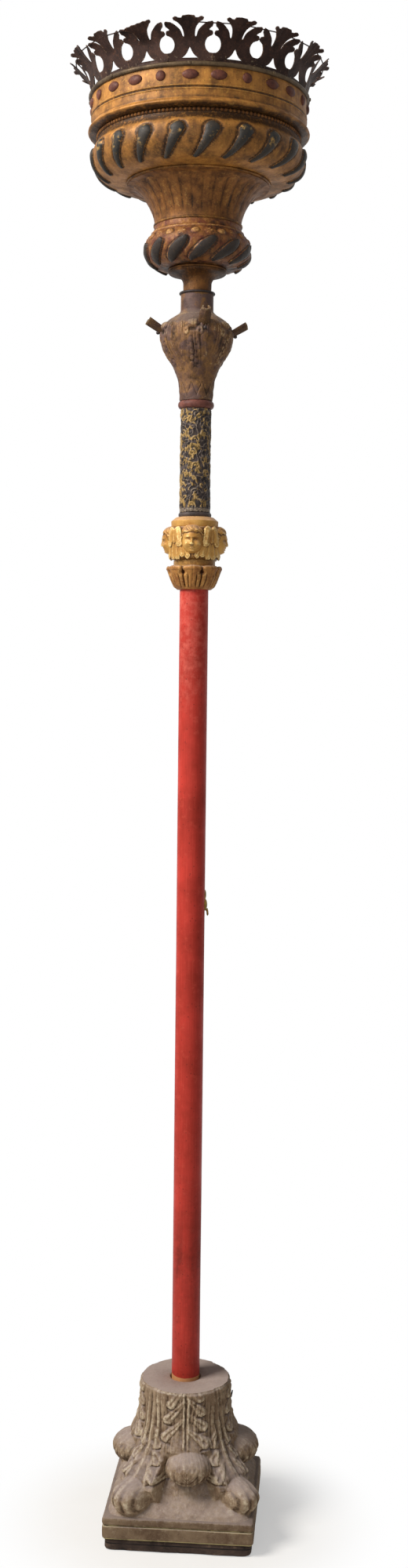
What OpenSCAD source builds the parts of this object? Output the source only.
// Sanctuary floor lamp: a carved wooden base and a lacquered pole with a gilded capital
// carry a sheet metal lamp head with a crown of leaves, a glass cradle, a glass and a candle.
// Millimetres, +Z up, front towards -Y, origin at the middle of the underside.

/* [Base] */
// Width of the square bottom board
board_w = 208; // [190:1:230]
// Thickness of the bottom board
board_h = 17; // [12:0.5:30]
// Radius of the board's worn corners
board_corner_r = 6; // [2:0.5:12]
// Width of the square plinth
plinth_w = 213; // [205:1:240]
// Height of the plinth's lower band
plinth_low_h = 19; // [14:0.5:30]
// Height of the plinth's upper band
plinth_high_h = 10; // [6:0.5:20]
// Depth of the groove between the plinth's bands
plinth_groove = 2; // [0.5:0.1:4]
// Height of the groove between the plinth's bands
plinth_groove_h = 2; // [1:0.1:4]
// Shank radius of a wrought nail
nail_r = 1.6; // [1:0.1:2.4]
// Length of the nails that hold the bottom board
nail_len = 32; // [26:1:36]
// Distance of those nails from the middle of the board
nail_place = 84; // [70:1:90]

/* [Carved capital] */
// Radius of the bell at its top
bell_top_r = 60; // [54:1:64]
// Radius of the bell on the plinth
bell_foot_r = 100; // [92:1:102]
// Height of the bell above the plinth
bell_h = 164; // [150:1:190]
// Turn of the leaves against the plinth, in degrees
leaf_turn = 6; // [0:1:10]
// Width of a side leaf
side_leaf_w = 62; // [54:1:68]
// Distance of a side leaf's curl from the axis
side_curl_x = 80; // [74:1:84]
// Height of a side leaf's curl above the plinth
side_curl_z = 70; // [60:1:80]
// Radius of a side leaf's curl
side_curl_r = 23; // [18:0.5:26]
// Width of a corner leaf
corner_leaf_w = 54; // [46:1:58]
// Distance of a corner leaf's curl from the axis
corner_curl_x = 111; // [104:1:114]
// Radius of a corner leaf's curl
corner_curl_r = 25; // [20:0.5:27]
// Depth of the pole's socket
socket_depth = 120; // [90:1:135]
// Play between the pole and its socket, all round
socket_play = 2; // [0.5:0.1:4]

/* [Pole] */
// Radius of the pole
pole_r = 20; // [19.5:0.5:22]
// Length of the pole up to its shoulder
pole_len = 1250; // [600:10:1800]
// Radius of the spigot above the shoulder
spigot_r = 18; // [16:0.25:18.5]
// Length of the spigot that goes up inside the sleeve
spigot_in_sleeve = 140; // [90:1:148]
// Height of the hook's middle above the pole's foot
hook_z = 812; // [300:1:1150]
// Direction of the hook round the pole, in degrees from +X
hook_turn = 12; // [0:1:40]
// How far the hook's lower boss stands out
hook_out = 4; // [3:0.25:6]
// Radius of the pins that hold the hook
pin_r = 1; // [0.6:0.1:1.5]

/* [Gilded capital] */
// Height of the leaf cup
cup_h = 32; // [26:0.5:40]
// Radius of the leaf cup on the pole
cup_foot_r = 24; // [23:0.5:27]
// Radius of the leaf cup at its top
cup_top_r = 37; // [34:0.5:42]
// Number of leaves round the cup
cup_leaves = 8; // [6:1:10]
// Radius of the neck between cup and drum
neck_r = 29; // [26:0.5:31]
// Height of that neck
neck_h = 9; // [6:0.5:14]
// Radius of the cherub drum
drum_r = 34; // [32:0.5:38]
// Height of the cherub drum
drum_h = 54; // [50:0.5:62]
// Radius of the plain chamfered seat on top of the drum
seat_r = 26; // [25:0.5:30]
// Height of that seat
seat_h = 5; // [3:0.5:10]
// Width of a cherub's head
head_w = 31; // [26:0.5:34]
// Height of a cherub's head
head_h = 40; // [34:0.5:44]
// How far a cherub's face stands out of the drum
head_out = 11; // [8:0.5:13]

/* [Sleeve and knop] */
// Thickness of the sheet metal
sheet_t = 1.6; // [1.2:0.1:2.4]
// Outer radius of the sleeve
sleeve_r = 20.4; // [20.2:0.1:22]
// Length of the sleeve
sleeve_h = 143; // [120:1:170]
// Radius of the ring at the sleeve's foot
foot_ring_r = 23; // [22.5:0.25:25]
// Height of the ring at the sleeve's foot
foot_ring_h = 6; // [4:0.5:10]
// Radius of the roll under the knop
knop_ring_r = 25; // [24:0.25:28]
// Height of the roll under the knop
knop_ring_h = 11; // [8:0.5:14]
// How far that roll bulges
knop_ring_bulge = 2.2; // [1:0.1:2.4]
// Radius of the knop at its foot
knop_foot_r = 22.4; // [21.5:0.1:24]
// Greatest radius of the knop
knop_r = 50; // [44:0.5:56]
// Height of the knop's widest place above its foot
knop_belly_z = 90; // [75:1:105]
// Height of the knop's shoulder above its widest place
knop_shoulder_h = 33; // [28:1:40]
// Height of the knop's neck
knop_neck_h = 22; // [18:1:30]
// Radius of the knop's neck
knop_neck_r = 22.6; // [21.8:0.1:24]
// Turn of the four branch stubs, in degrees
stub_turn = 17; // [0:1:45]
// Width of a branch stub
stub_w = 16; // [12:0.5:19]
// How far a branch stub reaches from the axis
stub_reach = 67; // [62:0.5:74]
// Rise of a branch stub, in degrees
stub_rise = 32; // [20:1:42]

/* [Bowl] */
// Thickness of the flange ring on the knop's neck
collar_h = 3; // [2:0.25:5]
// Radius of the flange ring on the knop's neck
collar_r = 25; // [24.2:0.1:28]
// Radius of the bowl's stem
stem_r = 19.5; // [17:0.25:20.5]
// Height of the bowl's stem above the flange ring
stem_h = 28; // [22:0.5:40]
// Radius of the fillet ring on the stem
stem_ring_r = 39; // [34:0.5:44]
// Height of the thin fillet rings
fillet_h = 3.5; // [2.5:0.25:5]
// Greatest radius of the bulb
bulb_r = 73; // [68:0.5:78]
// Height of the bulb
bulb_h = 56; // [50:0.5:64]
// Radius where bulb and trumpet meet
waist_r = 60; // [54:0.5:63]
// Number of gadroons round the bulb
bulb_gadroons = 12; // [10:1:14]
// Height of the trumpet
trumpet_h = 52; // [44:0.5:62]
// Radius of the trumpet's mouth
trumpet_r = 98; // [90:0.5:104]
// Greatest radius of the bowl
bowl_r = 146; // [138:0.5:150]
// Height of the bowl's widest place above the trumpet
bowl_belly_z = 34; // [28:0.5:40]
// Height of the bowl above its widest place
bowl_shoulder_h = 22; // [16:0.5:28]
// Radius of the bowl's mouth
bowl_mouth_r = 138; // [134:0.5:141]
// Number of gadroons round the bowl
bowl_gadroons = 20; // [16:1:22]
// Sweep of a gadroon round the bowl, in degrees
gadroon_sweep = 9; // [0:0.5:12]
// How far the gadroons stand out
gadroon_out = 3.5; // [2:0.25:5]
// Height of the beaded ring
bead_ring_h = 5; // [4:0.25:7]
// How far the beaded ring stands out
bead_out = 3; // [2:0.25:5]

/* [Rim and crown] */
// How far the lip moulding stands out of the bowl's mouth
lip_out = 14; // [12.5:0.5:20]
// Height of the lip moulding
lip_h = 10; // [7:0.5:14]
// How far the rim band stands out of the bowl's mouth
band_out = 9.5; // [9:0.5:11.5]
// Height of the rim band
band_h = 38; // [36:0.5:56]
// Height of the groove above the band's foot
band_groove_z = 13; // [9:0.5:16]
// Height of the bosses above the band's foot
boss_z = 28; // [25:0.5:29]
// Number of oval bosses
bosses = 24; // [18:3:27]
// Half height of a boss
boss_tall = 6.5; // [5:0.25:8]
// Half width of a wide boss
boss_wide = 11; // [9:0.5:14]
// How far a boss stands out
boss_out = 3.5; // [2:0.25:5]
// Radius of the rolled rim's section
roll_r = 3; // [2.4:0.1:4]
// Number of palmettes in the crown
palmettes = 16; // [15:1:18]
// Thickness of the crown's sheet
crown_t = 1.2; // [0.8:0.1:2]
// Length of the crown's sheet from the rim to the bend
crown_low_h = 26; // [25:0.5:30]
// Length of a palmette's fan above the bend
crown_fan_h = 28; // [24:0.5:32]
// Outward lean of the sheet below the bend, in degrees
crown_lean = 18; // [10:1:25]
// Outward lean of the fans, in degrees
fan_lean = 47; // [30:1:55]
// Lean of the one fan that is bent further forward, in degrees
folded_lean = 56; // [48:1:95]
// Shank radius of a crown rivet
rivet_r = 1.4; // [1:0.1:1.8]
// Radius of the wire that stiffens the crown
wire_r = 0.8; // [0.5:0.1:1.2]

/* [Light] */
// Inner radius of the cradle's ring
cradle_ring_r = 44.5; // [42:0.5:48]
// Width of the cradle's arms
cradle_arm_w = 10; // [6:0.5:14]
// Thickness of the cradle's arms
cradle_arm_t = 2.5; // [1.5:0.25:4]
// Height of the cradle's ring
cradle_ring_h = 6; // [5:0.5:10]
// Radius of the glass at its foot
glass_foot_r = 30; // [29:0.5:36]
// Height of the glass
glass_h = 97; // [84:1:104]
// Thickness of the glass wall
glass_t = 3; // [2:0.25:3.5]
// Radius of the candle
candle_r = 24; // [18:0.5:25]
// Height of the candle
candle_h = 58; // [30:1:66]
// Radius of the wick
wick_r = 1; // [0.7:0.1:1.5]
// Length of wick above the candle
wick_out = 11; // [6:0.5:14]

/* [Clearances] */
// Gap between pieces that rest on each other and lift apart
rest_gap = 0.3; // [0.2:0.05:0.6]
// Gap between pieces that slide in each other, all round
slide_gap = 0.4; // [0.2:0.05:0.8]
// Gap between pieces that are fixed together, all round
seat_gap = 0.1; // [0.05:0.05:0.2]

/* [Hidden] */
$fn = 72;

// Heights, each worked out from the piece below
z_plinth = board_h;
z_capital = z_plinth + plinth_low_h + plinth_groove_h + plinth_high_h;
z_bell = z_capital + bell_h;
z_pole = z_bell - socket_depth + rest_gap;
z_shoulder = z_pole + pole_len;
z_neck = z_shoulder + cup_h;
z_drum = z_neck + neck_h;
z_seat = z_drum + drum_h;
z_foot_ring = z_seat + seat_h + rest_gap;
z_sleeve = z_foot_ring + foot_ring_h;
z_spigot_top = z_sleeve + spigot_in_sleeve;
z_knop_ring = z_sleeve + sleeve_h;
z_knop = z_knop_ring + knop_ring_h;
z_belly = z_knop + knop_belly_z;
z_shoulder_top = z_belly + knop_shoulder_h;
z_collar = z_shoulder_top + knop_neck_h;
z_stem = z_collar + collar_h;
z_stem_ring = z_stem + stem_h;
z_bulb = z_stem_ring + fillet_h;
z_waist_ring = z_bulb + bulb_h;
z_trumpet = z_waist_ring + fillet_h;
z_trumpet_ring = z_trumpet + trumpet_h;
z_bowl = z_trumpet_ring + fillet_h;
z_bowl_belly = z_bowl + bowl_belly_z;
z_beads = z_bowl_belly + bowl_shoulder_h;
z_lip = z_beads + bead_ring_h;
z_band = z_lip + lip_h;
z_roll = z_band + band_h;
z_crown = z_roll + 2 * roll_r + crown_t;
z_cradle = z_band + rest_gap;
z_glass_lip = z_cradle + cradle_ring_h + rest_gap;
z_glass_top = z_glass_lip + glass_t;
z_glass_foot = z_glass_top - glass_h;
z_candle = z_glass_foot + glass_t + rest_gap;
z_hook = z_pole + hook_z;

// Radii and places that follow from the sizes above
curve_steps = 12;
fine = 288;
gadroon_turn = 6;
fillet_w = 6;
fillet_bulge = 1.6;
flange_w = 4;
socket_r = pole_r + socket_play;
bore_r = spigot_r + seat_gap;
sleeve_bore_r = spigot_r + slide_gap;
lip_r = bowl_mouth_r + lip_out;
band_r = bowl_mouth_r + band_out;
band_bore_r = band_r - sheet_t;
collar_out_r = band_bore_r - seat_gap;
collar_in_r = collar_out_r - crown_t;
crown_plane_r = collar_out_r - crown_t;
pitch = 2 * crown_plane_r * tan(180 / palmettes);
cradle_reach = collar_in_r - 1.5;
glass_r = cradle_ring_r - slide_gap;
glass_lip_r = cradle_ring_r + 4;
head_axis_r = drum_r + head_out - head_w / 2;
head_mid_z = z_drum + drum_h * 0.5;
feather_r = 4.6;
first_feather = asin((head_w / 2 + feather_r) / (drum_r + 1));
feather_step = 45 - first_feather - 3;
stub_root_r = stub_w / 2;
nail_hole_r = nail_r + seat_gap;
pin_hole_r = pin_r + seat_gap;
old_nail_z = z_bell - 36;
hook_top = 8;
hook_low = -6;
wick_foot = 3;
sides = 4;
over = 1;
drill_len = 40;
pin_in = 12;
old_nail_turn = 14;
old_nail_in = 13;

// Points of a cubic curve from a to d
function curve(a, b, c, d) = [
    for (i = [0:curve_steps])
        let (t = i / curve_steps, s = 1 - t)
            s * s * s * a + 3 * s * s * t * b + 3 * s * t * t * c + t * t * t * d
];

// A list without its first point, to join two curves that share a point
function rest(p) = [for (i = [1:len(p) - 1]) p[i]];

function reversed(p) = [for (i = [len(p) - 1:-1:0]) p[i]];

// Outward normal of an upward running profile at point i
function normal_at(p, i) =
    let (d = p[min(len(p) - 1, i + 1)] - p[max(0, i - 1)])
        [d[1], -d[0]] / norm(d);

// The same profile, moved along its normals
function moved(p, out) = [for (i = [0:len(p) - 1]) p[i] + out * normal_at(p, i)];

// Outlines, as [radius, height], from the bottom up
bell_outline = curve([bell_foot_r, z_capital], [bell_top_r + 6, z_capital + bell_h * 0.2],
    [bell_top_r - 1, z_capital + bell_h * 0.56], [bell_top_r, z_bell]);

knop_outline = concat(
    curve([knop_foot_r, z_knop], [knop_foot_r, z_knop + knop_belly_z * 0.63],
        [knop_r, z_knop + knop_belly_z * 0.63], [knop_r, z_belly]),
    rest(curve([knop_r, z_belly], [knop_r, z_belly + knop_shoulder_h * 0.62],
        [knop_neck_r + 2, z_belly + knop_shoulder_h * 0.72], [knop_neck_r, z_shoulder_top])),
    [[knop_neck_r, z_collar]]
);

bulb_outline = concat(
    [[stem_ring_r - flange_w, z_bulb]],
    curve([stem_ring_r, z_bulb], [bulb_r * 0.85, z_bulb],
        [bulb_r, z_bulb + bulb_h * 0.2], [bulb_r, z_bulb + bulb_h * 0.46]),
    rest(curve([bulb_r, z_bulb + bulb_h * 0.46], [bulb_r, z_bulb + bulb_h * 0.72],
        [waist_r, z_bulb + bulb_h * 0.78], [waist_r, z_waist_ring]))
);

trumpet_outline = concat(
    curve([waist_r, z_trumpet], [waist_r, z_trumpet + trumpet_h * 0.4],
        [waist_r + (trumpet_r - waist_r) * 0.55, z_trumpet_ring - sheet_t],
        [trumpet_r - flange_w, z_trumpet_ring - sheet_t]),
    [[trumpet_r, z_trumpet_ring - sheet_t]]
);

bowl_outline = concat(
    [[trumpet_r - flange_w, z_bowl]],
    curve([trumpet_r, z_bowl], [trumpet_r + (bowl_r - trumpet_r) * 0.6, z_bowl],
        [bowl_r, z_bowl + bowl_belly_z * 0.3], [bowl_r, z_bowl_belly]),
    rest(curve([bowl_r, z_bowl_belly], [bowl_r, z_bowl_belly + bowl_shoulder_h * 0.5],
        [bowl_mouth_r, z_bowl_belly + bowl_shoulder_h * 0.65], [bowl_mouth_r, z_beads]))
);

drum_outline = concat(
    curve([neck_r, z_drum], [drum_r, z_drum + 2], [drum_r, z_drum + 4], [drum_r, z_drum + drum_h * 0.3]),
    [[drum_r - 1.5, z_seat], [seat_r, z_seat + seat_h]]
);

// Solid turned from an outline that closes on the axis
module turned(p) {
    rotate_extrude()
        polygon(concat([[0, p[0][1]]], p, [[0, p[len(p) - 1][1]]]));
}

// Space inside a sheet that follows an outline, open at the top
module hollow(p) {
    top = p[len(p) - 1];
    turned(concat(moved(p, -sheet_t), [[top[0] - sheet_t, top[1] + 1]]));
}

// Sheet metal turned from an outline, with the wall on its inner side
module spun(p) {
    rotate_extrude()
        polygon(concat(p, reversed(moved(p, -sheet_t))));
}

// Round bar from radius r1 to r2, between two heights
module tube(r1, r2, z1, z2) {
    translate([0, 0, z1])
        difference() {
            cylinder(r = r2, h = z2 - z1);
            translate([0, 0, -1])
                cylinder(r = r1, h = z2 - z1 + 2);
        }
}

// Round-nosed moulding about the axis, on a bore, with flat faces above and below
module moulding(bore, r, z, h, bulge) {
    nose_r = (h * h / 4 + bulge * bulge) / (2 * bulge);
    flat_r = r - bulge;
    rotate_extrude() {
        translate([bore, z])
            square([flat_r - bore, h]);
        intersection() {
            translate([r - nose_r, z + h / 2])
                circle(r = nose_r);
            translate([flat_r, z])
                square([bulge, h]);
        }
    }
}

// Slab with rounded corners
module slab(w, h, r, z) {
    translate([0, 0, z])
        linear_extrude(h) {
            square([w - 2 * r, w], center = true);
            square([w, w - 2 * r], center = true);
            for (x = [-1, 1], y = [-1, 1])
                translate([x * (w / 2 - r), y * (w / 2 - r)])
                    circle(r = r);
        }
}

module at_corners(d) {
    for (x = [-1, 1], y = [-1, 1])
        translate([x * d, y * d, 0])
            children();
}

module around(n, turn = 0) {
    for (i = [0:n - 1])
        rotate([0, 0, turn + 360 * i / n])
            children();
}

// Round drop: a ball that tapers to a thin tail downwards
module drop(r, len, tail_r) {
    steps = 5;
    rotate_extrude()
        polygon(concat(
            [for (i = [0:steps]) let (a = 90 - 90 * i / steps) [r * cos(a), r * sin(a)]],
            [[tail_r, -len], [0, -len]]
        ));
}

module base_board() {
    color([0.20, 0.16, 0.13])
        difference() {
            slab(board_w, board_h, board_corner_r, 0);
            at_corners(nail_place)
                nail_bore();
        }
}

// Hole for a board nail, with a countersink for its head
module nail_bore() {
    translate([0, 0, -1])
        cylinder(r = nail_hole_r, h = nail_len + 1.5);
    translate([0, 0, -1])
        cylinder(r = 2 * nail_r + seat_gap, h = 1 + nail_r);
}

module plinth() {
    color([0.40, 0.34, 0.28])
        difference() {
            union() {
                slab(plinth_w, plinth_low_h, 2, z_plinth);
                slab(plinth_w - 2 * plinth_groove, plinth_groove_h, 2, z_plinth + plinth_low_h);
                slab(plinth_w, plinth_high_h, 2, z_plinth + plinth_low_h + plinth_groove_h);
            }
            at_corners(nail_place)
                nail_bore();
        }
}

module board_nails() {
    color([0.18, 0.16, 0.15])
        at_corners(nail_place) {
            translate([0, 0, 0.5])
                cylinder(r = 2 * nail_r, h = nail_r - 0.6);
            translate([0, 0, 0.5])
                cylinder(r = nail_r, h = nail_len - 0.5);
        }
}

// Lobed barrel across the leaf: the curled tip with its fingers
module leaf_curl(r, w, fingers, cut) {
    function half(s) = pow(max(0, 1 - pow(abs(s), 2.6)), 1 / 2.6);
    function dent(s) = cut * pow(abs(cos(90 * fingers * (s + 1))), 4) * half(s);
    steps = 4 * fingers;
    rotate([90, 0, 0])
        rotate_extrude()
            polygon(concat(
                [[0, -w / 2]],
                [for (i = [1:steps - 1]) let (s = 2 * i / steps - 1) [r * half(s) - dent(s), s * w / 2]],
                [[0, w / 2]]
            ));
}

// Acanthus leaf on the bell, pointing along +X: a lobed tongue that ends in a curl
module bell_leaf(root_w, w, x, z, r, lobes, fingers) {
    root_z = z_bell - 4;
    top_z = z + r;
    lobe_r = w / 8;
    back_r = bell_top_r - 14;
    intersection() {
        rotate([90, 0, 0])
            linear_extrude(2 * w, center = true)
                polygon(concat(
                    [[back_r, root_z]],
                    curve([bell_top_r + 0.5, root_z], [bell_top_r + 1, (top_z + root_z) / 2],
                        [bell_top_r + 2, top_z + 4], [x, top_z - 1]),
                    [[x, z], [back_r, z]]
                ));
        rotate([90, 0, 90])
            linear_extrude(x + r) {
                polygon([[-root_w / 2, root_z], [root_w / 2, root_z],
                    [w / 2 - lobe_r, z], [lobe_r - w / 2, z]]);
                for (i = [0:lobes - 1], side = [-1, 1])
                    let (f = (i + 0.5) / lobes, half = (root_w * (1 - f) + (w - lobe_r) * f) / 2)
                        translate([side * half, root_z + (z + r * 0.5 - root_z) * f])
                            circle(r = lobe_r);
            }
    }
    translate([x, 0, z])
        leaf_curl(r, w, fingers, r / 10);
}

module carved_capital() {
    color([0.49, 0.43, 0.37])
        difference() {
            union() {
                turned(bell_outline);
                around(sides, leaf_turn)
                    bell_leaf(side_leaf_w * 0.7, side_leaf_w, side_curl_x, z_capital + side_curl_z,
                        side_curl_r, 3, 5);
                around(sides, leaf_turn + 180 / sides)
                    bell_leaf(corner_leaf_w * 0.3, corner_leaf_w, corner_curl_x, z_capital + corner_curl_r,
                        corner_curl_r, 4, 4);
            }
            translate([0, 0, z_bell - socket_depth])
                cylinder(r = socket_r, h = socket_depth + 1);
            old_nail_place()
                rotate([0, -90, 0])
                    cylinder(r = nail_hole_r, h = old_nail_in + over);
        }
}

// Side of the bell where an old nail is left, and its direction
module old_nail_place() {
    rotate([0, 0, old_nail_turn])
        translate([bell_top_r + 3, 0, old_nail_z])
            children();
}

module old_nails() {
    bend_x = 4;
    lean = 14;
    point_len = 10;
    color([0.16, 0.13, 0.12])
        old_nail_place() {
            rotate([0, -90, 0])
                cylinder(r = nail_r, h = old_nail_in);
            rotate([0, 90, 0])
                cylinder(r = nail_r, h = bend_x);
            translate([bend_x, 0, 0])
                sphere(r = nail_r);
            translate([bend_x, 0, 0])
                rotate([0, lean, 0])
                    cylinder(r1 = nail_r, r2 = nail_r * 0.6, h = point_len);
        }
}

module pole() {
    color([0.72, 0.22, 0.16])
        difference() {
            union() {
                translate([0, 0, z_pole])
                    cylinder(r = pole_r, h = pole_len);
                translate([0, 0, z_shoulder - 1])
                    cylinder(r = spigot_r, h = z_spigot_top - z_shoulder + 1);
            }
            hook_place()
                hook_pin_places()
                    rotate([0, 90, 0])
                        cylinder(r = pin_hole_r, h = drill_len, center = true);
        }
}

// Middle of the hook on the pole's surface, with +X pointing outwards
module hook_place() {
    rotate([0, 0, hook_turn])
        translate([pole_r, 0, z_hook])
            children();
}

module hook_pin_places() {
    for (z = [hook_top, hook_low])
        translate([0, 0, z])
            children();
}

// Ball cap of base radius a that stands out by h, on the plane x = 0
module boss_cap(a, h) {
    ball_r = (a * a + h * h) / (2 * h);
    translate([h - ball_r, 0, 0])
        sphere(r = ball_r, $fn = fine / 2);
}

module pole_hook() {
    top_boss_r = 7;
    low_boss_r = 9;
    tip_r = 1.6;
    tip_x = hook_out * 0.75;
    tip_top = -13;
    tip_len = 7;
    tip_lean = 172;
    color([0.55, 0.42, 0.20])
        difference() {
            hook_place() {
                translate([0, 0, hook_top])
                    boss_cap(top_boss_r, hook_out * 0.6);
                translate([0, 0, hook_low])
                    boss_cap(low_boss_r, hook_out);
                translate([tip_x, 0, tip_top])
                    rotate([0, tip_lean, 0])
                        cylinder(r1 = tip_r, r2 = 1, h = tip_len);
                translate([tip_x + 1, 0, tip_top - tip_len])
                    sphere(r = tip_r);
            }
            translate([0, 0, z_pole])
                cylinder(r = pole_r, h = pole_len);
            hook_place()
                hook_pin_places()
                    rotate([0, 90, 0])
                        cylinder(r = pin_hole_r, h = drill_len, center = true);
        }
}

module hook_pins() {
    color([0.45, 0.36, 0.20])
        hook_place()
            hook_pin_places()
                translate([-pin_in, 0, 0])
                    rotate([0, 90, 0])
                        cylinder(r = pin_r, h = pin_in + hook_out * 0.5);
}

module spigot_bore() {
    translate([0, 0, z_shoulder - 1])
        cylinder(r = bore_r, h = z_spigot_top - z_shoulder + 2);
}

module leaf_cup() {
    lip = z_neck - 4;
    notch_r = 4;
    notch_lean = 18;
    color([0.70, 0.50, 0.20])
        difference() {
            turned(concat(
                curve([cup_foot_r, z_shoulder], [cup_foot_r + 4, z_shoulder + cup_h * 0.1],
                    [cup_top_r - 4, z_shoulder + cup_h * 0.45], [cup_top_r, lip]),
                [[cup_top_r - 1, lip + 2.5], [neck_r, z_neck]]
            ));
            spigot_bore();
            around(cup_leaves, 180 / cup_leaves)
                translate([cup_top_r + 3, 0, lip + 2])
                    rotate([0, notch_lean, 0])
                        cylinder(r = notch_r, h = cup_h, center = true);
        }
}

// Feathers of one wing, to the left or the right of a cherub's head
module wing(side) {
    for (i = [0:1])
        rotate([0, 0, side * (first_feather + feather_step * i)])
            translate([drum_r + 1, 0, z_seat - 13 + 2 * i])
                rotate([side * 4 * i, -4, 0])
                    drop(feather_r, drum_h * 0.55, 1.5);
}

module cherub_drum() {
    color([0.78, 0.58, 0.24])
        difference() {
            union() {
                tube(spigot_r, neck_r, z_neck, z_drum);
                turned(drum_outline);
                around(sides)
                    for (side = [-1, 1])
                        wing(side);
            }
            spigot_bore();
        }
}

// Egg-shaped head with a cap of hair and a small nose, calm and plain
module cherub_head(place) {
    half_w = head_w / 2;
    half_h = head_h / 2;
    color([0.84, 0.65, 0.30])
        difference() {
            rotate([0, 0, 90 * place])
                translate([head_axis_r, 0, head_mid_z]) {
                    turned(concat(
                        curve([2, -half_h], [half_w * 0.7, -half_h * 0.95],
                            [half_w * 0.95, -half_h * 0.5], [half_w * 0.97, half_h * 0.1]),
                        rest(curve([half_w * 0.97, half_h * 0.1], [half_w, half_h * 0.6],
                            [half_w * 0.6, half_h], [1, half_h]))
                    ));
                    translate([-1.5, 0, half_h * 0.3])
                        drop(half_w * 1.04, half_w * 0.3, half_w * 0.98);
                    translate([half_w * 0.93, 0, half_h * 0.08])
                        drop(1.4, half_h * 0.3, 2.6);
                }
            turned(drum_outline);
        }
}

module sleeve_foot_ring() {
    color([0.22, 0.18, 0.15])
        moulding(sleeve_bore_r, foot_ring_r, z_foot_ring, foot_ring_h, fillet_bulge);
}

module shaft_sleeve() {
    color([0.28, 0.25, 0.20])
        tube(sleeve_bore_r, sleeve_r, z_sleeve, z_knop_ring);
}

module knop_ring() {
    color([0.40, 0.28, 0.18])
        moulding(sleeve_bore_r, knop_ring_r, z_knop_ring, knop_ring_h, knop_ring_bulge);
}

module knop() {
    color([0.40, 0.34, 0.24])
        difference() {
            spun(knop_outline);
            around(sides, stub_turn)
                stub_rivet(seat_gap);
        }
}

// Root of a branch stub on the knop, with its own +X along the stub
module stub_place() {
    translate([knop_r - 5, 0, z_belly + 5])
        rotate([0, -stub_rise, 0])
            children();
}

// Rivet that holds a stub to the knop, or with a gap the hole for it
module stub_rivet(gap) {
    shank = 10;
    translate([knop_r - shank / 2, 0, z_belly + 1]) {
        rotate([0, 90, 0])
            cylinder(r = rivet_r + gap, h = shank);
        translate([shank, 0, 0])
            sphere(r = 1.8 * rivet_r + gap);
    }
}

// Rising gutter, open on top, left of a broken branch
module branch_stub(place) {
    long = (stub_reach - knop_r + 5) / cos(stub_rise);
    color([0.36, 0.29, 0.20])
        difference() {
            rotate([0, 0, stub_turn + 90 * place])
                stub_place()
                    difference() {
                        rotate([0, 90, 0])
                            cylinder(r1 = stub_root_r * 0.8, r2 = stub_root_r, h = long);
                        translate([-1, 0, 1])
                            rotate([0, 90, 0])
                                cylinder(r1 = stub_root_r * 0.8 - 2, r2 = stub_root_r - 2, h = long + 2);
                        translate([-1, -stub_w, 2])
                            cube([long + 2, 2 * stub_w, stub_w]);
                    }
            turned(moved(knop_outline, seat_gap));
            around(sides, stub_turn)
                stub_rivet(seat_gap);
        }
}

module stub_rivets() {
    color([0.30, 0.24, 0.18])
        around(sides, stub_turn)
            stub_rivet(0);
}

module collar_ring() {
    color([0.20, 0.17, 0.14])
        tube(stem_r + seat_gap, collar_r, z_collar, z_stem);
}

// Stem with a spigot down inside the knop's neck and a flare up to the bulb
module bowl_stem() {
    plug_r = knop_neck_r - sheet_t - seat_gap;
    foot_z = z_collar - knop_neck_h + 2;
    flange_z = z_stem_ring - sheet_t;
    flare = concat(
        curve([stem_r, z_stem + stem_h * 0.4], [stem_r, z_stem + stem_h * 0.8],
            [stem_r + 6, flange_z], [stem_ring_r - flange_w, flange_z]),
        [[stem_ring_r, flange_z]]
    );
    color([0.36, 0.26, 0.17])
        rotate_extrude()
            polygon(concat(
                [[stem_r - sheet_t, foot_z], [plug_r, foot_z], [plug_r, z_collar], [stem_r, z_collar]],
                flare,
                reversed(moved(flare, -sheet_t))
            ));
}

module stem_ring() {
    color([0.45, 0.32, 0.17])
        moulding(stem_ring_r - fillet_w, stem_ring_r + fillet_bulge, z_stem_ring, fillet_h, fillet_bulge);
}

// Teardrops on a turned surface, standing out of it, with tails swept round it
module gadroons(p, n, turn, head, tail, head_r, tail_r, sweep) {
    mid = (head + tail) / 2;
    tilt = atan2(head[0] - tail[0], head[1] - tail[1]);
    long = norm(head - tail);
    skew = atan2(2 * mid[0] * sin(sweep / 2), long);
    inwards = 20;
    outwards = 40;
    intersection() {
        turned(moved(p, gadroon_out));
        around(n, turn)
            translate([mid[0], 0, mid[1]])
                rotate([0, tilt, 0])
                    rotate([0, 90, 0])
                        rotate([0, 0, -skew])
                            translate([0, 0, -inwards])
                                linear_extrude(inwards + outwards) {
                                    translate([-long / 2, 0])
                                        circle(r = head_r);
                                    polygon([[-long / 2, head_r], [-long / 2, -head_r],
                                        [long / 2, -tail_r], [long / 2, tail_r]]);
                                }
    }
}

module bulb() {
    head_r = 8;
    tail_r = 2;
    sweep = 24;
    color([0.50, 0.34, 0.16])
        difference() {
            union() {
                turned(bulb_outline);
                gadroons(bulb_outline, bulb_gadroons, gadroon_turn, [bulb_r, z_bulb + bulb_h * 0.56],
                    [bulb_r * 0.86, z_bulb + bulb_h * 0.1], head_r, tail_r, sweep);
            }
            hollow(bulb_outline);
            translate([0, 0, z_bulb - 1])
                cylinder(r = stem_ring_r - flange_w, h = bulb_h * 0.2);
        }
}

module waist_ring() {
    color([0.58, 0.42, 0.18])
        moulding(waist_r - fillet_w, waist_r + fillet_bulge, z_waist_ring, fillet_h, fillet_bulge);
}

module trumpet() {
    color([0.55, 0.38, 0.17])
        spun(trumpet_outline);
}

module trumpet_ring() {
    color([0.50, 0.36, 0.17])
        moulding(trumpet_r - fillet_w, trumpet_r + fillet_bulge, z_trumpet_ring, fillet_h, fillet_bulge);
}

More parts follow.
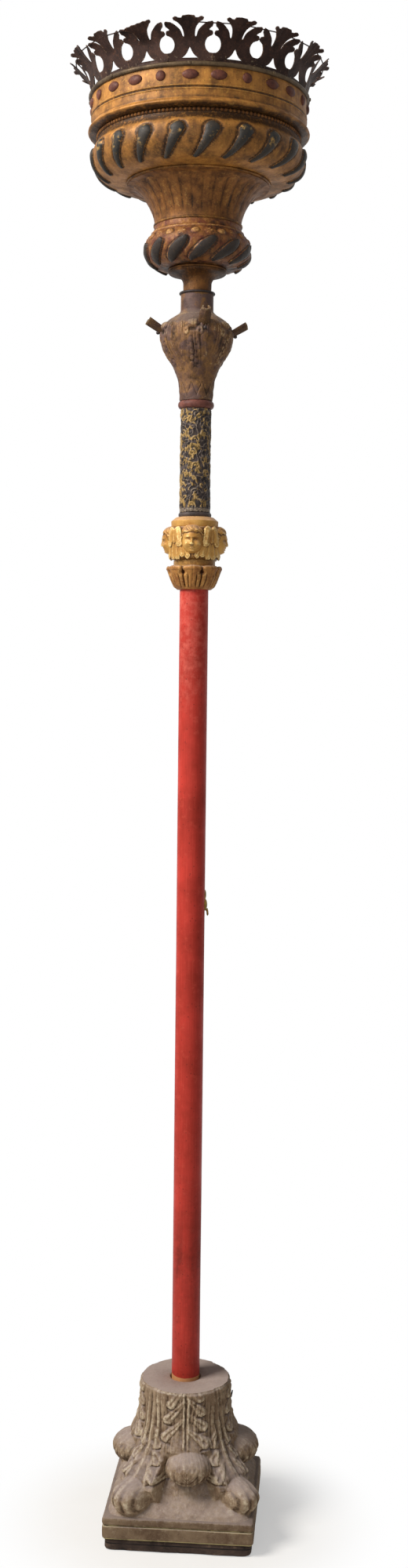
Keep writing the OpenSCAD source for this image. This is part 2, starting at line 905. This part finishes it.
module gadroon_bowl() {
    head_r = 9;
    tail_r = 2.5;
    color([0.56, 0.38, 0.16])
        difference() {
            union() {
                turned(bowl_outline);
                gadroons(bowl_outline, bowl_gadroons, gadroon_turn, [bowl_r - 1, z_bowl_belly - 2],
                    [trumpet_r + (bowl_r - trumpet_r) * 0.42, z_bowl + 2], head_r, tail_r, gadroon_sweep);
            }
            hollow(bowl_outline);
            translate([0, 0, z_bowl - 1])
                cylinder(r = trumpet_r - flange_w, h = bowl_belly_z);
        }
}

module beaded_ring() {
    color([0.48, 0.33, 0.16])
        moulding(bowl_mouth_r - sheet_t, bowl_mouth_r + bead_out, z_beads, bead_ring_h, bead_ring_h / 2);
}

// Projecting lip; its flat top inside the band is the ledge for the cradle
module lip_moulding() {
    color([0.47, 0.33, 0.17])
        rotate_extrude()
            polygon(concat(
                [[bowl_mouth_r - sheet_t, z_band], [bowl_mouth_r - sheet_t, z_lip]],
                curve([bowl_mouth_r + 2, z_lip], [bowl_mouth_r + 8, z_lip],
                    [lip_r - 2, z_lip + lip_h * 0.2], [lip_r, z_lip + lip_h * 0.4]),
                rest(curve([lip_r, z_lip + lip_h * 0.4], [lip_r, z_lip + lip_h * 0.75],
                    [band_r + 1, z_lip + lip_h * 0.7], [band_r + 0.5, z_band]))
            ));
}

module rim_band() {
    cut = 0.8;
    groove_z = z_band + band_groove_z;
    color([0.58, 0.40, 0.17])
        rotate_extrude()
            polygon([
                [band_bore_r, z_band], [band_r, z_band],
                [band_r, groove_z - 1.5], [band_r - cut, groove_z], [band_r, groove_z + 1.5],
                [band_r, z_roll], [band_bore_r, z_roll]
            ]);
}

// Red-brown cabochons on the band, two almonds and a round one in turn
module band_bosses() {
    color([0.42, 0.22, 0.18])
        for (i = [0:bosses - 1])
            rotate([0, 0, -90 + 360 * i / bosses])
                difference() {
                    translate([band_r, 0, z_band + boss_z])
                        if (i % 3 == 2)
                            boss_cap(boss_tall, boss_out);
                        else
                            almond(boss_wide, boss_tall, boss_out);
                    translate([0, 0, z_band - band_h])
                        cylinder(r = band_r, h = 3 * band_h, $fn = fine);
                }
}

// Almond of half width a and half height b that stands out by h: two ball caps crossed
module almond(a, b, h) {
    arc_r = (a * a / b + b) / 2;
    shift = arc_r - b;
    for_height = h * arc_r * arc_r / (arc_r * arc_r - shift * shift);
    intersection() {
        translate([0, 0, shift])
            boss_cap(arc_r, for_height);
        translate([0, 0, -shift])
            boss_cap(arc_r, for_height);
    }
}

module rim_roll() {
    color([0.35, 0.27, 0.18])
        difference() {
            moulding(band_bore_r, band_r + roll_r + 1, z_roll, 2 * roll_r, roll_r);
            rivet_places()
                cylinder(r = rivet_r + seat_gap, h = drill_len, center = true);
        }
}

// Axes of the rivets, pointing outwards through the rolled rim
module rivet_places() {
    around(palmettes / 2, -90)
        translate([band_r, 0, z_roll + roll_r])
            rotate([0, 90, 0])
                children();
}

module crown_rivets() {
    color([0.30, 0.22, 0.15])
        rivet_places() {
            translate([0, 0, collar_in_r - band_r])
                cylinder(r = rivet_r, h = roll_r + 2 + band_r - collar_in_r);
            translate([0, 0, roll_r + 1])
                cylinder(r1 = 1.9 * rivet_r, r2 = rivet_r, h = rivet_r);
        }
}

// Flat pattern of the sheet below the bend, one palmette wide
module crown_leaves() {
    half = pitch / 2;
    eye_r = pitch * 0.16;
    eye_v = crown_low_h * 0.7;
    web_v = crown_low_h * 0.6;
    leaf_r = pitch * 0.24;
    leaf_u = half * 0.74;
    gap = 1.2;
    difference() {
        union() {
            translate([-half, 0])
                square([pitch, crown_low_h * 0.16]);
            translate([-half * 0.5, web_v])
                square([half, crown_low_h - web_v]);
            for (side = [-1, 1])
                intersection() {
                    union() {
                        translate([side * half, eye_v])
                            circle(r = eye_r * 2);
                        translate([side * leaf_u, crown_low_h + 2])
                            circle(r = leaf_r);
                    }
                    translate([side < 0 ? -half : 0, 0])
                        square([half, 2 * crown_low_h]);
                }
        }
        for (side = [-1, 1]) {
            translate([side * half, eye_v])
                circle(r = eye_r);
            translate([side * half, crown_low_h + leaf_r * 0.65])
                circle(r = leaf_r * 0.26);
            translate([side * half - gap, crown_low_h])
                square([2 * gap, 2 * leaf_r]);
        }
    }
}

// Flat pattern of a palmette's fan, from the bend upwards
module crown_fan() {
    foot = pitch * 0.115;
    tip_r = 6.5;
    lobe_r = 5;
    end_r = 4.4;
    top = crown_fan_h - tip_r;
    polygon([[-foot, 0], [foot, 0], [foot * 1.05, top * 0.3], [foot * 1.5, top * 0.65], [foot * 2.3, top],
        [-foot * 2.3, top], [-foot * 1.5, top * 0.65], [-foot * 1.05, top * 0.3]]);
    translate([0, top])
        circle(r = tip_r);
    for (side = [-1, 1]) {
        translate([side * foot * 1.15, top])
            circle(r = lobe_r);
        translate([side * foot * 2.05, top - 1])
            circle(r = end_r);
    }
}

// One palmette of the crown, at the front of the rim
module palmette(lean) {
    translate([crown_plane_r, 0, z_crown])
        rotate([0, crown_lean, 0]) {
            rotate([90, 0, 90])
                linear_extrude(crown_t)
                    crown_leaves();
            translate([0, 0, crown_low_h - crown_t / 2])
                rotate([0, lean - crown_lean, 0])
                    rotate([90, 0, 90])
                        linear_extrude(crown_t)
                            crown_fan();
        }
}

module crown() {
    folded = palmettes - 1;
    color([0.20, 0.14, 0.12])
        difference() {
            union() {
                tube(collar_in_r, collar_out_r, z_roll - 6, z_crown + 2);
                for (i = [0:palmettes - 1])
                    rotate([0, 0, -90 + 360 * i / palmettes])
                        palmette(i == folded ? folded_lean : fan_lean);
            }
            rivet_places()
                cylinder(r = rivet_r + seat_gap, h = drill_len, center = true);
        }
}

// Stiffening wire that runs behind the fans, soldered to each of them
module crown_wire() {
    up = crown_fan_h * 0.6;
    wire_z = z_crown + crown_low_h * cos(crown_lean) + up * cos(fan_lean);
    wire_ring_r = crown_plane_r + crown_low_h * sin(crown_lean) + up * sin(fan_lean) - wire_r * 0.5;
    open = 360 / palmettes;
    color([0.18, 0.13, 0.11])
        rotate([0, 0, -90 - 0.55 * open])
            rotate_extrude(angle = 360 - 0.9 * open)
                translate([wire_ring_r, wire_z])
                    circle(r = wire_r);
}

module glass_cradle() {
    foot_x = cradle_reach - cradle_arm_w / 2;
    color([0.55, 0.44, 0.24])
        difference() {
            union() {
                translate([0, 0, z_cradle])
                    cylinder(r = glass_lip_r, h = cradle_ring_h);
                around(sides, 180 / sides) {
                    translate([cradle_ring_r + 1, -cradle_arm_w / 2, z_cradle])
                        cube([foot_x - cradle_ring_r - 1, cradle_arm_w, cradle_arm_t]);
                    translate([foot_x, 0, z_cradle])
                        cylinder(r = cradle_arm_w / 2, h = cradle_arm_t);
                }
            }
            translate([0, 0, z_cradle - 1])
                cylinder(r = cradle_ring_r, h = cradle_ring_h + 2);
        }
}

module lamp_glass() {
    color([0.55, 0.05, 0.06, 0.6])
        rotate_extrude()
            polygon([
                [0, z_glass_foot], [glass_foot_r, z_glass_foot],
                [glass_r, z_glass_lip], [glass_lip_r, z_glass_lip],
                [glass_lip_r, z_glass_top], [glass_r - glass_t, z_glass_top],
                [glass_foot_r - glass_t, z_glass_foot + glass_t], [0, z_glass_foot + glass_t]
            ]);
}

module candle() {
    top = z_candle + candle_h;
    edge = 2;
    color([0.93, 0.89, 0.78])
        difference() {
            turned([[candle_r, z_candle], [candle_r, top - edge], [candle_r - edge, top]]);
            translate([0, 0, z_candle + wick_foot])
                cylinder(r = wick_r + seat_gap, h = candle_h);
        }
}

module wick() {
    color([0.25, 0.22, 0.20])
        translate([0, 0, z_candle + wick_foot])
            cylinder(r = wick_r, h = candle_h - wick_foot + wick_out);
}

base_board();
plinth();
board_nails();
carved_capital();
old_nails();
pole();
pole_hook();
hook_pins();
leaf_cup();
cherub_drum();
cherub_head(0);  // cherub_head_1
cherub_head(1);  // cherub_head_2
cherub_head(2);  // cherub_head_3
cherub_head(3);  // cherub_head_4
sleeve_foot_ring();
shaft_sleeve();
knop_ring();
knop();
branch_stub(0);  // branch_stub_1
branch_stub(1);  // branch_stub_2
branch_stub(2);  // branch_stub_3
branch_stub(3);  // branch_stub_4
stub_rivets();
collar_ring();
bowl_stem();
stem_ring();
bulb();
waist_ring();
trumpet();
trumpet_ring();
gadroon_bowl();
beaded_ring();
lip_moulding();
rim_band();
band_bosses();
rim_roll();
crown();
crown_rivets();
crown_wire();
glass_cradle();
lamp_glass();
candle();
wick();
